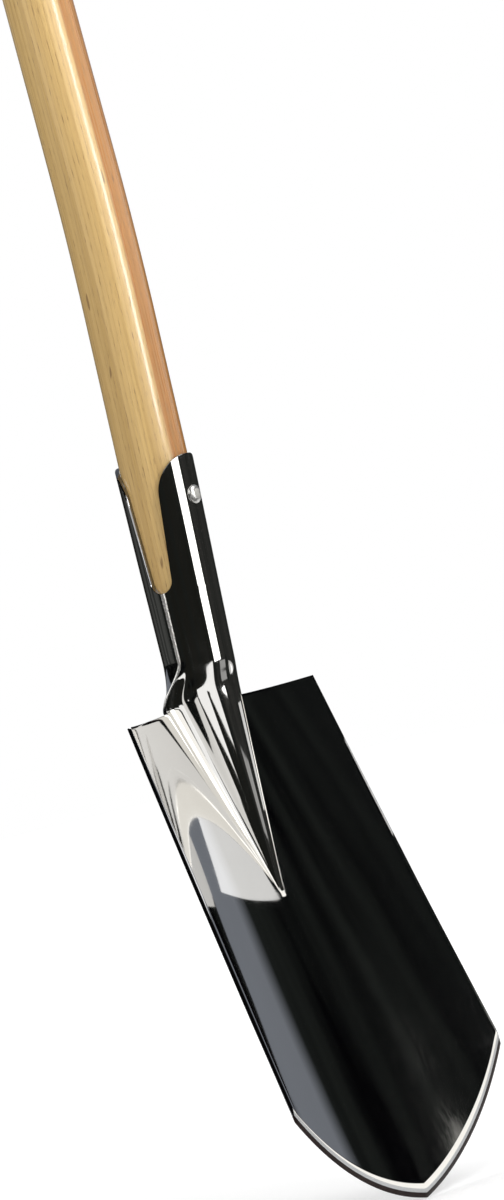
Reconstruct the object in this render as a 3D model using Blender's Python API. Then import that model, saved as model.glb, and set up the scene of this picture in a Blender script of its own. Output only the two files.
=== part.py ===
"""Pointed spade: a dished steel blade with a strapped socket, on a bent ash shaft with a T grip.

Units are metres and +Z is up. The socket's axis is upright, the blade's point is down and the
blade's hollow face looks towards -Y. The origin lies under the middle of the whole tool, level
with the point. Two frames are used below: the socket frame has its origin where the socket's
axis meets the plane of the blade's shoulders, and the blade frame, tilted from it by the lift,
has its origin on the face of the sheet, midway between the shoulders and level with
their inner ends.
"""

import math

import bmesh
import bpy
from mathutils import Matrix, Vector

# Clearances
SEAT_GAP = 0.0003            # between pieces that touch or are welded on the real spade
OVERRUN = 0.0020             # how far a cutter runs past the surface it opens

# Blade sheet
BLADE_LENGTH = 0.2984        # inner ends of the shoulders to the point
SHOULDER_WIDTH = 0.1923
SHOULDER_FALL = 0.0050       # how far each shoulder slopes down from the neck
CORNER_WIDTH = 0.2235        # across the two lower corners
POINT_HEIGHT = 0.0627        # point below the lower corners
POINT_BULGE = 0.0102         # how far each cutting edge swells beyond its chord
SHOULDER_DISH = 0.0196       # depth of the hollow across the shoulders
CORNER_DISH = 0.0168
SHEET = 0.0022
EDGE_BEVEL = 0.0045          # width of the ground bevel
EDGE_LAND = 0.0006           # thickness left at the cutting edge

# Neck and ridge
LIFT = math.radians(15.4)    # angle between the socket and the blade
AXIS_STAND_OFF = 0.0107      # socket axis in front of the sheet, at the shoulders
RIDGE_LENGTH = 0.114         # shoulders to the ridge's apex
RIDGE_FILLET = 0.0100        # hollow between ridge and sheet, at the shoulders
RIDGE_TIP_HALF = 0.0030      # half the ridge's width at its apex
NECK_LENGTH = 0.024          # shoulders to the round part of the socket

# Socket and straps
HANDLE_RADIUS = 0.0194       # wood at the straps' upper ends
STRAP = 0.0023
SOCKET_LENGTH = 0.1348       # shoulders to the straps' upper ends
NECK_RADIUS = 0.0193
MOUTH_RADIUS = HANDLE_RADIUS + SEAT_GAP + STRAP
SLOT_DEPTH = 0.0725
SLOT_END_RADIUS = 0.0066
SLOT_MOUTH_HALF = 0.0128     # half the slot's width between the straps' tops
STRAP_CORNER = 0.0195        # radius of the straps' rounded ends

# Tongue of the back strap, welded behind the blade
TONGUE_LENGTH = 0.082
TONGUE_INSET = 0.0030        # narrower than the ridge's foot, each side
TONGUE_EDGE = 0.0016
TONGUE_CROWN = 0.0030        # how far its middle stands above its edges, at the shoulders
TONGUE_TIP_HALF = 0.0030
TONGUE_TIP_CROWN = 0.0008

# Rivet
RIVET_DROP = 0.0230          # below the straps' upper ends
RIVET_SHANK = 0.0030
RIVET_HEAD = 0.0052
RIVET_DOME = 0.0024

# Shaft
BEND_START = 0.080           # above the straps
BEND_LENGTH = 0.090
BEND_ANGLE = math.radians(2.7)
SHAFT_RISE = 0.655           # straps to the grip's seat, along the shaft
SHAFT_TOP_RADIUS = 0.0178
TENON_RADIUS = 0.0120

# T grip
GRIP_LENGTH = 0.126
GRIP_RADIUS = 0.0185
GRIP_END_RADIUS = 0.0160
GRIP_ROUNDING = 0.0080
GRIP_SEAT = 0.0045           # the shaft's shoulder is let into the grip this far
TENON_PROUD = 0.0004
WEDGE_DEPTH = 0.0150
WEDGE_THICK = 0.0036
WEDGE_TOE = 0.0010
PIN_RADIUS = 0.0030
PIN_DROP = 0.0060            # pin below the grip's centre line

# Facets: counts of divisions
CREST_STEPS = 5              # ridge's crest, each side
FILLET_STEPS = 3             # ridge's fillet, each side
FLANGE_STEPS = 5             # sheet beside the ridge, each side
CORNER_ROWS = 4
SLOT_END_ROWS = 4
SLOT_ROWS = 4
SOCKET_ROWS = 2
NECK_ROWS = 8
RIDGE_ROWS = 11
LOWER_ROWS = 8
TONGUE_ROWS = 7
BEND_ROWS = 5
SHAFT_ROWS = 4               # above the bend
GRIP_END_ROWS = 5            # rounding at each end
GRIP_ROWS = 5                # half the length between the roundings
RIVET_ROWS = 4
ROUND_SIDES = 24
FINE_SIDES = 96              # cutter that matches a rivet head to the strap
PIN_SIDES = 16
CREST_SHARE = 0.78           # part of the half socket's arc that the crest's columns take

# Sizes that follow from those above
CORNER_DROP = BLADE_LENGTH - POINT_HEIGHT
SLOT_FLOOR = SOCKET_LENGTH - SLOT_DEPTH
GRIP_CENTRE = SHAFT_RISE + GRIP_RADIUS - GRIP_SEAT
TENON_TOP = GRIP_CENTRE + GRIP_RADIUS + TENON_PROUD
QUARTER = math.pi / 2
SIDE = Vector((1, 0, 0))
BACK = Vector((0, 1, 0))
UP = Vector((0, 0, 1))

BLADE_TO_SOCKET = Matrix.Rotation(-LIFT, 4, "X") @ Matrix.Translation((0, AXIS_STAND_OFF, 0))


def clear_scene():
    for item in list(bpy.data.objects):
        bpy.data.objects.remove(item, do_unlink=True)


def make_material(name, colour, roughness, metallic):
    material = bpy.data.materials.new(name)
    material.use_nodes = True
    shader = material.node_tree.nodes["Principled BSDF"]
    shader.inputs["Base Color"].default_value = (*colour, 1.0)
    shader.inputs["Roughness"].default_value = roughness
    shader.inputs["Metallic"].default_value = metallic
    return material


def add_object(name, bm, material):
    """Turn a bmesh into a smooth-shaded object whose faces point outwards."""
    bmesh.ops.recalc_face_normals(bm, faces=bm.faces)
    mesh = bpy.data.meshes.new(name)
    bm.to_mesh(mesh)
    bm.free()
    mesh.shade_smooth()
    mesh.set_sharp_from_angle(angle=math.radians(40))
    item = bpy.data.objects.new(name, mesh)
    if material:
        mesh.materials.append(material)
    bpy.context.collection.objects.link(item)
    return item


def add_cutter(name, bm):
    item = add_object(name, bm, None)
    item.hide_render = True
    item.display_type = "WIRE"
    return item


def combine(target, other, operation):
    modifier = target.modifiers.new(other.name, "BOOLEAN")
    modifier.operation = operation
    modifier.solver = "EXACT"
    modifier.object = other


def cut(target, cutter):
    combine(target, cutter, "DIFFERENCE")


def solid_between(outer, inner):
    """Close the space between two grids of points into one body.

    Each grid is a list of rows, and None marks a place where there is no metal.
    """
    bm = bmesh.new()
    spots = [(r, c) for r, row in enumerate(outer) for c, point in enumerate(row) if point]
    face_side = {spot: bm.verts.new(outer[spot[0]][spot[1]]) for spot in spots}
    back_side = {spot: bm.verts.new(inner[spot[0]][spot[1]]) for spot in spots}
    edges = set()
    for r, c in spots:
        cell = [(r, c), (r + 1, c), (r + 1, c + 1), (r, c + 1)]
        if all(spot in face_side for spot in cell):
            bm.faces.new([face_side[spot] for spot in cell])
            bm.faces.new([back_side[spot] for spot in reversed(cell)])
            edges.update(zip(cell, cell[1:] + cell[:1]))
    for a, b in edges:
        if (b, a) not in edges:
            bm.faces.new([face_side[b], face_side[a], back_side[a], back_side[b]])
    return bm


def solid_of_rings(rings):
    """Join rings of equal count into one body with flat ends."""
    bm = bmesh.new()
    loops = [[bm.verts.new(point) for point in points] for points in rings]
    for low, high in zip(loops, loops[1:]):
        for i in range(len(low)):
            j = (i + 1) % len(low)
            bm.faces.new([low[i], low[j], high[j], high[i]])
    bm.faces.new(loops[0][::-1])
    bm.faces.new(loops[-1])
    return bm


def ring(centre, side, front, radius, count):
    """Points of a circle round centre, in the plane of the two unit directions."""
    turns = [2 * math.pi * i / count for i in range(count)]
    return [centre + side * (radius * math.cos(a)) + front * (radius * math.sin(a)) for a in turns]


def cylinder(start, direction, length, radius, count):
    """A plain cylinder from a start point along a unit direction."""
    side = direction.orthogonal().normalized()
    front = direction.cross(side)
    ends = [start, start + direction * length]
    return solid_of_rings([ring(end, side, front, radius, count) for end in ends])


def mix(a, b, share):
    return a + (b - a) * share


def flowing(start, start_pull, end, end_pull, share):
    """A smooth curve that leaves start and reaches end along the two pulls."""
    s2 = share * share
    s3 = s2 * share
    return (start * (2 * s3 - 3 * s2 + 1) + start_pull * (s3 - 2 * s2 + share)
            + end * (3 * s2 - 2 * s3) + end_pull * (s3 - s2))


def mirrored(half):
    """Columns from the left edge to the right edge, from those of the right half."""
    left = [point if point is None else Vector((-point.x, point.y, point.z)) for point in half[:0:-1]]
    return left + half


# Shape of the sheet, in the blade frame

def side_share(z):
    """Share of the way down the side edges, from the shoulders to the lower corners."""
    return min(max((-z - SHOULDER_FALL) / (CORNER_DROP - SHOULDER_FALL), 0.0), 1.0)


def half_width(z):
    return mix(SHOULDER_WIDTH, CORNER_WIDTH, side_share(z)) / 2


def rolled_radius(z):
    """Radius that the sheet is rolled to at height z."""
    width = half_width(z)
    depth = CORNER_DISH + (SHOULDER_DISH - CORNER_DISH) * (1 - side_share(z)) ** 2
    return (width * width + depth * depth) / (2 * depth)


def sheet_y(x, z, thickness):
    radius = rolled_radius(z)
    return math.sqrt((radius + thickness) ** 2 - x * x) - radius


def edge_z(x, inset):
    """Height of the cutting edge at x, or of a line the inset inside it."""
    across = CORNER_WIDTH / 2
    chord = math.hypot(across, POINT_HEIGHT)
    radius = (chord * chord / 4 + POINT_BULGE ** 2) / (2 * POINT_BULGE)
    centre_x = across / 2 - (radius - POINT_BULGE) * POINT_HEIGHT / chord
    centre_z = -CORNER_DROP - POINT_HEIGHT / 2 + (radius - POINT_BULGE) * across / chord
    return centre_z - math.sqrt((radius - inset) ** 2 - (abs(x) - centre_x) ** 2)


def ridge_section():
    """Half of the ridge's section at the shoulders: x and height above the sheet."""
    reach = NECK_RADIUS + RIDGE_FILLET
    sweep = math.acos((RIDGE_FILLET - AXIS_STAND_OFF) / reach)
    foot = reach * math.sin(sweep)
    points = []
    for i in range(CREST_STEPS + 1):
        a = sweep * i / CREST_STEPS
        points.append((NECK_RADIUS * math.sin(a), AXIS_STAND_OFF + NECK_RADIUS * math.cos(a)))
    for i in range(1, FILLET_STEPS + 1):
        a = sweep * (1 - i / FILLET_STEPS)
        points.append((foot - RIDGE_FILLET * math.sin(a), RIDGE_FILLET - RIDGE_FILLET * math.cos(a)))
    return points


# Shape of the socket, in the socket frame

def socket_radius(height):
    return mix(NECK_RADIUS, MOUTH_RADIUS, height / SOCKET_LENGTH)


def strap_reach(height):
    """Angle from the strap's middle to its edge."""
    above = height - SLOT_FLOOR
    below_top = SOCKET_LENGTH - height
    half_slot = SEAT_GAP / 2
    if above > 0:
        open_share = min(above / SLOT_END_RADIUS, 1.0)
        taper = mix(SLOT_END_RADIUS, SLOT_MOUTH_HALF, above / SLOT_DEPTH)
        half_slot = max(half_slot, taper * math.sqrt(1 - (1 - open_share) ** 2))
    if below_top < STRAP_CORNER:
        rise = 1 - below_top / STRAP_CORNER
        half_slot += STRAP_CORNER * (1 - math.sqrt(max(1 - rise * rise, 0.0)))
    return QUARTER - half_slot / socket_radius(height)


def strap_heights():
    """Rows of the straps and socket from the top down to the neck, close where edges turn."""
    heights = []
    for i in range(CORNER_ROWS + 1):
        heights.append(SOCKET_LENGTH - STRAP_CORNER * (1 - math.cos(QUARTER * i / CORNER_ROWS)))
    slot_top = heights[-1]
    slot_low = SLOT_FLOOR + SLOT_END_RADIUS
    for i in range(1, SLOT_ROWS):
        heights.append(mix(slot_top, slot_low, i / SLOT_ROWS))
    for i in range(SLOT_END_ROWS, -1, -1):
        heights.append(SLOT_FLOOR + SLOT_END_RADIUS * (1 - math.cos(QUARTER * i / SLOT_END_ROWS)))
    for i in range(1, SOCKET_ROWS + 1):
        heights.append(mix(SLOT_FLOOR, NECK_LENGTH, i / SOCKET_ROWS))
    return heights


def column_shares():
    """Where each column of the half socket lies along its arc, from 0 in the middle to 1."""
    crest = [CREST_SHARE * i / CREST_STEPS for i in range(CREST_STEPS + 1)]
    rest = [mix(CREST_SHARE, 1.0, i / FILLET_STEPS) for i in range(1, FILLET_STEPS + 1)]
    return crest + rest


def socket_row(height, radius, facing):
    """Half a row of the socket; facing is -1 for the front half and 1 for the back half."""
    reach = strap_reach(height)
    turns = [reach * share for share in column_shares()]
    return [Vector((radius * math.sin(a), facing * radius * math.cos(a), height)) for a in turns]


def from_blade(x, y, z):
    return BLADE_TO_SOCKET @ Vector((x, y, z))


def downwards(vector_in_blade):
    return BLADE_TO_SOCKET.to_3x3() @ vector_in_blade


def neck_rows(tops, lows, pulls):
    """Rows that carry a half socket down into the section at the shoulders."""
    drop = UP * -NECK_LENGTH
    rows = []
    for r in range(1, NECK_ROWS):
        share = r / NECK_ROWS
        rows.append([flowing(top, drop, low, pull, share) for top, low, pull in zip(tops, lows, pulls)])
    return rows


def sheet_row(places, ridge_heights):
    """Front and back points of the sheet at places (x, z), with the ridge standing on it."""
    front = [from_blade(x, sheet_y(x, z, 0) - rise, z) for (x, z), rise in zip(places, ridge_heights)]
    back = [from_blade(x, sheet_y(x, z, SHEET), z) for x, z in places]
    return front, back


def make_blade(material):
    """The forging: front strap, half socket, neck, ridge and dished sheet in one piece."""
    section = ridge_section()
    centre = len(section)
    foot = section[-1][0]
    none = [None] * FLANGE_STEPS
    outer = []
    inner = []
    for height in strap_heights():
        radius = socket_radius(height)
        outer.append(socket_row(height, radius, -1) + none)
        inner.append(socket_row(height, radius - STRAP, -1) + none)

    def ridge_row(share):
        """Sheet with the ridge on it, a share of the way from the shoulders to the apex."""
        foot_here = mix(foot, RIDGE_TIP_HALF, share)
        places = [(x / foot * foot_here, -RIDGE_LENGTH * share) for x, _ in section]
        side_z = mix(-SHOULDER_FALL, -RIDGE_LENGTH, share)
        side = (half_width(side_z), side_z)
        for i in range(1, FLANGE_STEPS + 1):
            places.append(tuple(mix(a, b, i / FLANGE_STEPS) for a, b in zip(places[centre - 1], side)))
        heights = [rise * (1 - share) for _, rise in section] + [0.0] * FLANGE_STEPS
        return places, sheet_row(places, heights)

    places, (front, back) = ridge_row(0)
    apex = from_blade(0, sheet_y(0, -RIDGE_LENGTH, 0), -RIDGE_LENGTH)
    pulls = [(apex - point) * (NECK_LENGTH / RIDGE_LENGTH) for point in front[:centre]]
    flat_pull = downwards(Vector((0, 0, -NECK_LENGTH)))
    outer += [row + none for row in neck_rows(outer[-1][:centre], front[:centre], pulls)]
    inner += [row + none for row in neck_rows(inner[-1][:centre], back[:centre], [flat_pull] * centre)]
    for i in range(RIDGE_ROWS + 1):
        places, (front, back) = ridge_row(i / RIDGE_ROWS)
        outer.append(front)
        inner.append(back)

    shares = [x / places[-1][0] for x, _ in places]
    columns = len(shares) - 1

    def lower_row(share, inset):
        """Sheet below the apex, where the rows bend towards the cutting edge."""
        width = half_width(mix(-RIDGE_LENGTH, edge_z(CORNER_WIDTH / 2, inset), share))
        xs = [mix(start, i / columns, share) * width for i, start in enumerate(shares)]
        places = [(x, mix(-RIDGE_LENGTH, edge_z(x, inset), share)) for x in xs]
        return sheet_row(places, [0.0] * len(places))

    for i in range(1, LOWER_ROWS + 1):
        front, back = lower_row(i / LOWER_ROWS, EDGE_BEVEL)
        outer.append(front)
        inner.append(back)
    front, back = lower_row(1.0, 0.0)
    land = downwards(Vector((0, -EDGE_LAND, 0)))
    outer.append([point + land for point in back])
    inner.append(back)
    bm = solid_between([mirrored(row) for row in outer], [mirrored(row) for row in inner])
    return add_object("blade", bm, material)


def make_back_strap(material):
    """The welded half: back strap, back of the socket, and the tongue behind the blade."""
    foot = ridge_section()[-1][0] - TONGUE_INSET
    shares = column_shares()
    outer = []
    inner = []
    for height in strap_heights():
        radius = socket_radius(height)
        outer.append(socket_row(height, radius, 1))
        inner.append(socket_row(height, radius - STRAP, 1))

    def tongue_row(share):
        z = -TONGUE_LENGTH * share
        width = mix(foot, TONGUE_TIP_HALF, share)
        crown = mix(TONGUE_CROWN, TONGUE_TIP_CROWN, share)
        face = []
        seat = []
        for column in shares:
            x = width * column
            under = sheet_y(x, z, SHEET) + SEAT_GAP
            seat.append(from_blade(x, under, z))
            face.append(from_blade(x, under + TONGUE_EDGE + crown * (1 - column ** 2), z))
        return face, seat

    face, seat = tongue_row(0)
    next_face, next_seat = tongue_row(NECK_LENGTH / TONGUE_LENGTH)
    face_pulls = [b - a for a, b in zip(face, next_face)]
    seat_pulls = [downwards(Vector((0, 0, -NECK_LENGTH)))] * len(seat)
    outer += neck_rows(outer[-1], face, face_pulls)
    inner += neck_rows(inner[-1], seat, seat_pulls)
    for i in range(TONGUE_ROWS + 1):
        face, seat = tongue_row(i / TONGUE_ROWS)
        outer.append(face)
        inner.append(seat)
    bm = solid_between([mirrored(row) for row in outer], [mirrored(row) for row in inner])
    return add_object("back_strap", bm, material)


# Shaft and grip

def shaft_station(distance):
    """Point and direction of the shaft's middle line, a distance above the straps."""
    start = UP * (SOCKET_LENGTH + BEND_START)
    beyond = distance - BEND_START
    if beyond <= 0:
        return start + UP * beyond, UP
    radius = BEND_LENGTH / BEND_ANGLE
    angle = min(beyond / radius, BEND_ANGLE)
    direction = Vector((0, math.sin(angle), math.cos(angle)))
    point = start + Vector((0, radius * (1 - math.cos(angle)), radius * math.sin(angle)))
    return point + direction * max(beyond - BEND_LENGTH, 0.0), direction


def shaft_ring(distance, radius):
    point, direction = shaft_station(distance)
    return ring(point, SIDE, direction.cross(SIDE), radius, ROUND_SIDES)


def make_shaft(material):
    rings = []
    wood_floor = NECK_LENGTH + SEAT_GAP
    inside = STRAP + SEAT_GAP
    for height in (wood_floor, mix(wood_floor, SOCKET_LENGTH, 0.5)):
        rings.append(shaft_ring(height - SOCKET_LENGTH, socket_radius(height) - inside))
    bend_end = BEND_START + BEND_LENGTH
    stops = [0.0]
    stops += [mix(BEND_START, bend_end, i / BEND_ROWS) for i in range(BEND_ROWS + 1)]
    stops += [mix(bend_end, SHAFT_RISE, i / SHAFT_ROWS) for i in range(1, SHAFT_ROWS + 1)]
    for distance in stops:
        rings.append(shaft_ring(distance, mix(HANDLE_RADIUS, SHAFT_TOP_RADIUS, distance / SHAFT_RISE)))
    rings.append(shaft_ring(SHAFT_RISE, TENON_RADIUS))
    rings.append(shaft_ring(TENON_TOP, TENON_RADIUS))
    return add_object("shaft", solid_of_rings(rings), material)


def grip_rings():
    """Sections of the turned crosspiece, from its left end to its right end."""
    half = GRIP_LENGTH / 2
    straight = half - GRIP_ROUNDING
    stations = []
    for i in range(GRIP_END_ROWS):
        turn = QUARTER * i / GRIP_END_ROWS
        reach = straight + GRIP_ROUNDING * math.cos(turn)
        stations.append((reach, GRIP_END_RADIUS - GRIP_ROUNDING * (1 - math.sin(turn))))
    for i in range(GRIP_ROWS):
        share = 1 - i / GRIP_ROWS
        stations.append((straight * share, mix(GRIP_RADIUS, GRIP_END_RADIUS, share * share)))
    centre, _ = shaft_station(GRIP_CENTRE)
    left = [(-reach, radius) for reach, radius in stations]
    right = [(reach, radius) for reach, radius in reversed(stations)]
    middle = [(0.0, GRIP_RADIUS)]
    return [ring(centre + SIDE * x, BACK, UP, radius, ROUND_SIDES) for x, radius in left + middle + right]


def wedge_solid(gap, overrun):
    """The wedge in the upper end of the tenon, or its kerf when a gap and an overrun are given."""
    top, direction = shaft_station(TENON_TOP)
    across = direction.cross(SIDE) * (TENON_RADIUS + overrun)
    rows = []
    for level in (-WEDGE_DEPTH - gap, overrun):
        centre = top + direction * level
        thick = SIDE * (mix(WEDGE_THICK, WEDGE_TOE, -level / WEDGE_DEPTH) / 2 + gap)
        rows.append([centre - thick - across, centre + thick - across,
                     centre + thick + across, centre - thick + across])
    return solid_of_rings(rows)


def make_grip(material, shaft, pin_material, wedge_material):
    grip = add_object("t_grip", solid_of_rings(grip_rings()), material)
    reach = GRIP_RADIUS + OVERRUN
    under, direction = shaft_station(GRIP_CENTRE - reach)
    mortise = cylinder(under, direction, reach * 2, TENON_RADIUS + SEAT_GAP, ROUND_SIDES)
    housing_depth = OVERRUN + GRIP_SEAT + SEAT_GAP
    housing = cylinder(under, direction, housing_depth, SHAFT_TOP_RADIUS + SEAT_GAP * 2, ROUND_SIDES)
    cut(grip, add_cutter("mortise_cutter", mortise))
    cut(grip, add_cutter("housing_cutter", housing))

    wedge = add_object("grip_wedge", wedge_solid(0.0, 0.0), wedge_material)
    round_form = cylinder(under, direction, reach * 2, TENON_RADIUS - SEAT_GAP, ROUND_SIDES)
    combine(wedge, add_cutter("wedge_form_cutter", round_form), "INTERSECT")
    cut(shaft, add_cutter("kerf_cutter", wedge_solid(SEAT_GAP, OVERRUN)))

    # Tenon and wedge are trimmed to the round of the grip
    centre, _ = shaft_station(GRIP_CENTRE)
    round_top = cylinder(centre - SIDE * reach, SIDE, reach * 2, GRIP_RADIUS + TENON_PROUD, FINE_SIDES)
    waste_body = cylinder(centre, direction, reach * 2, TENON_RADIUS + OVERRUN, ROUND_SIDES)
    waste = add_cutter("waste_cutter", waste_body)
    cut(waste, add_cutter("round_top_form", round_top))
    cut(shaft, waste)
    cut(wedge, waste)

    centre, _ = shaft_station(GRIP_CENTRE - PIN_DROP)
    chord = math.sqrt(GRIP_RADIUS ** 2 - PIN_DROP ** 2)
    pin_body = cylinder(centre - BACK * chord, BACK, chord * 2, PIN_RADIUS, PIN_SIDES)
    pin = add_object("grip_pin", pin_body, pin_material)
    hole = cylinder(centre - BACK * reach, BACK, reach * 2, PIN_RADIUS + SEAT_GAP, PIN_SIDES)
    hole_cutter = add_cutter("pin_hole_cutter", hole)
    cut(grip, hole_cutter)
    cut(shaft, hole_cutter)
    return [grip, wedge, pin]


def make_rivet(material, pierced):
    """One rivet right through both straps and the wood, its heads drawn down on the straps."""
    height = SOCKET_LENGTH - RIVET_DROP
    surface = socket_radius(height) + SEAT_GAP
    middle = UP * height
    reach = RIVET_HEAD + OVERRUN
    form = cylinder(middle - UP * reach, UP, reach * 2, surface, FINE_SIDES)
    strap_form = add_cutter("strap_form_cutter", form)
    shank_end = surface + RIVET_DOME / 2
    shank = cylinder(middle - BACK * shank_end, BACK, shank_end * 2, RIVET_SHANK, PIN_SIDES)
    rivet = add_object("strap_rivet", shank, material)
    for name, facing in (("front_head_form", -1), ("back_head_form", 1)):
        stations = [(surface - RIVET_DOME, RIVET_HEAD)]
        for i in range(RIVET_ROWS):
            turn = QUARTER * i / RIVET_ROWS
            stations.append((surface + RIVET_DOME * math.sin(turn), RIVET_HEAD * math.cos(turn)))
        rings = [ring(middle + BACK * (facing * out), SIDE, UP * facing, radius, ROUND_SIDES)
                 for out, radius in stations]
        head = add_cutter(name, solid_of_rings(rings))
        cut(head, strap_form)
        combine(rivet, head, "UNION")
    reach = shank_end + OVERRUN
    hole = cylinder(middle - BACK * reach, BACK, reach * 2, RIVET_SHANK + SEAT_GAP, PIN_SIDES)
    hole_cutter = add_cutter("rivet_hole_cutter", hole)
    for piece in pierced:
        cut(piece, hole_cutter)
    return rivet


def stand_on_point(pieces):
    """Hang every object on one empty, placed so that the origin is under the tool's middle."""
    points = [vertex.co for piece in pieces for vertex in piece.data.vertices]
    low_y = min(point.y for point in points)
    high_y = max(point.y for point in points)
    low_z = min(point.z for point in points)
    root = bpy.data.objects.new("spade", None)
    bpy.context.collection.objects.link(root)
    root.location = (0, -(low_y + high_y) / 2, -low_z)
    for item in bpy.data.objects:
        if item is not root:
            item.parent = root


def main():
    clear_scene()
    steel = make_material("blade_steel", (0.60, 0.59, 0.57), 0.10, 1.0)
    strap_steel = make_material("strap_steel", (0.59, 0.58, 0.56), 0.11, 1.0)
    rivet_steel = make_material("rivet_steel", (0.62, 0.61, 0.59), 0.22, 1.0)
    shaft_ash = make_material("shaft_ash", (0.56, 0.38, 0.19), 0.50, 0.0)
    grip_ash = make_material("grip_ash", (0.54, 0.36, 0.18), 0.50, 0.0)
    wedge_wood = make_material("wedge_wood", (0.30, 0.17, 0.08), 0.60, 0.0)
    pin_wood = make_material("pin_wood", (0.50, 0.33, 0.16), 0.60, 0.0)
    blade = make_blade(steel)
    back_strap = make_back_strap(strap_steel)
    shaft = make_shaft(shaft_ash)
    grip_pieces = make_grip(grip_ash, shaft, pin_wood, wedge_wood)
    rivet = make_rivet(rivet_steel, [blade, back_strap, shaft])
    stand_on_point([blade, back_strap, shaft, rivet] + grip_pieces)


main()
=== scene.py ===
import math

import bmesh
import bpy
import numpy as np
from mathutils import Matrix, Vector, noise
from mathutils.kdtree import KDTree


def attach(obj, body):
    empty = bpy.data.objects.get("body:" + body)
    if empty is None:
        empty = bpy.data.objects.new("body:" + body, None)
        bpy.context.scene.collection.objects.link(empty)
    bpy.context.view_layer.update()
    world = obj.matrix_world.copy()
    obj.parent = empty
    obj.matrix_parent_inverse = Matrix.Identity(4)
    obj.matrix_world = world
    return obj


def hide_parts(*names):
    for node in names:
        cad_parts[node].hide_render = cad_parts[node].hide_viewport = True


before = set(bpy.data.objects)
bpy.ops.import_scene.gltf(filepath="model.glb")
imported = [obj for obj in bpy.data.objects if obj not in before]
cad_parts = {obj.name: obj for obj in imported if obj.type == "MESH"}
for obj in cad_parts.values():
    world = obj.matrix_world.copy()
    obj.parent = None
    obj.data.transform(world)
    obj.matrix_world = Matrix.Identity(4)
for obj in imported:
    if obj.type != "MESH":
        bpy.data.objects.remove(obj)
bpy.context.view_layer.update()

# Blade: one steel forging. Its middle is raised into a ridge that runs up through the neck into
# the front half of the socket, and the sheet around it is rolled to a shallow hollow. It is
# polished to a mirror, and its two cutting edges are ground. The outer strip of each bevel, at
# the lip, is coloured near black as a painted dark reflection.
socket_foot = Vector((0.0, 0.0117905, 0.2911118))
lift = math.radians(15.4)
stand_off = 0.0107
blade_length = 0.2984
shoulder_half = 0.09615
shoulder_fall = 0.0050
corner_half = 0.11175
point_height = 0.0627
point_bulge = 0.0102
shoulder_dish = 0.0196
corner_dish = 0.0168
sheet = 0.0022
bevel_width = 0.0045
ground_share = 0.45
edge_land = 0.0006
arris = 0.00035
ridge_length = 0.114
ridge_fillet = 0.0100
ridge_tip_half = 0.0030
neck_length = 0.024
neck_radius = 0.0193
handle_radius = 0.0194
seat_gap = 0.0003
strap = 0.0023
mouth_radius = handle_radius + seat_gap + strap
socket_length = 0.1348
slot_depth = 0.0725
slot_end_radius = 0.0066
slot_mouth_half = 0.0128
strap_corner = 0.0195
slot_floor = socket_length - slot_depth
corner_drop = blade_length - point_height
quarter = math.pi / 2
sharp_angle = math.radians(50)
corner_steps, side_steps, end_steps, tube_steps = 16, 18, 12, 12


def mix(a, b, share):
    return a + (b - a) * share


def blade_points(x, y, z):
    """Points given in the blade's own frame, turned by the lift onto the socket."""
    y = y + stand_off
    x, y, z = np.broadcast_arrays(x, y, z)
    cosine, sine = math.cos(lift), math.sin(lift)
    return np.stack([x, cosine * y + sine * z, cosine * z - sine * y], -1)


def side_share(z):
    """How far down the blade's side z is: 0 at the shoulder and 1 at the lower corner."""
    return np.clip((-z - shoulder_fall) / (corner_drop - shoulder_fall), 0.0, 1.0)


def half_width(z):
    return mix(shoulder_half, corner_half, side_share(z))


def sheet_y(x, z, depth):
    """Depth of the rolled sheet behind the blade frame's plane, at its face or a depth below it."""
    dish = corner_dish + (shoulder_dish - corner_dish) * (1 - side_share(z)) ** 2
    radius = (half_width(z) ** 2 + dish ** 2) / (2 * dish)
    return np.sqrt((radius + depth) ** 2 - x * x) - radius


def edge_z(x, inset):
    """Height of the cutting edge at x, or of a line the inset inside it."""
    chord = math.hypot(corner_half, point_height)
    radius = (chord * chord / 4 + point_bulge ** 2) / (2 * point_bulge)
    centre_x = corner_half / 2 - (radius - point_bulge) * point_height / chord
    centre_z = -corner_drop - point_height / 2 + (radius - point_bulge) * corner_half / chord
    return centre_z - np.sqrt((radius - inset) ** 2 - (np.abs(x) - centre_x) ** 2)


def ridge_section(crest_steps, fillet_steps):
    """Half of the ridge's section at the shoulders: x, and height above the sheet."""
    reach = neck_radius + ridge_fillet
    sweep = math.acos((ridge_fillet - stand_off) / reach)
    crest = sweep * np.arange(crest_steps + 1) / crest_steps
    hollow = sweep * (1 - np.arange(1, fillet_steps + 1) / fillet_steps)
    x = np.concatenate([neck_radius * np.sin(crest),
                        reach * math.sin(sweep) - ridge_fillet * np.sin(hollow)])
    rise = np.concatenate([stand_off + neck_radius * np.cos(crest),
                           ridge_fillet - ridge_fillet * np.cos(hollow)])
    return x, rise


def socket_radius(height):
    return mix(neck_radius, mouth_radius, height / socket_length)


def strap_reach(height):
    """Angle from the strap's middle to its edge."""
    above = height - slot_floor
    below_top = socket_length - height
    half_slot = seat_gap / 2
    if above > 0:
        open_share = min(above / slot_end_radius, 1.0)
        taper = mix(slot_end_radius, slot_mouth_half, above / slot_depth)
        half_slot = max(half_slot, taper * math.sqrt(1 - (1 - open_share) ** 2))
    if below_top < strap_corner:
        rise = 1 - below_top / strap_corner
        half_slot += strap_corner * (1 - math.sqrt(max(1 - rise * rise, 0.0)))
    return quarter - half_slot / socket_radius(height)


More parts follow.
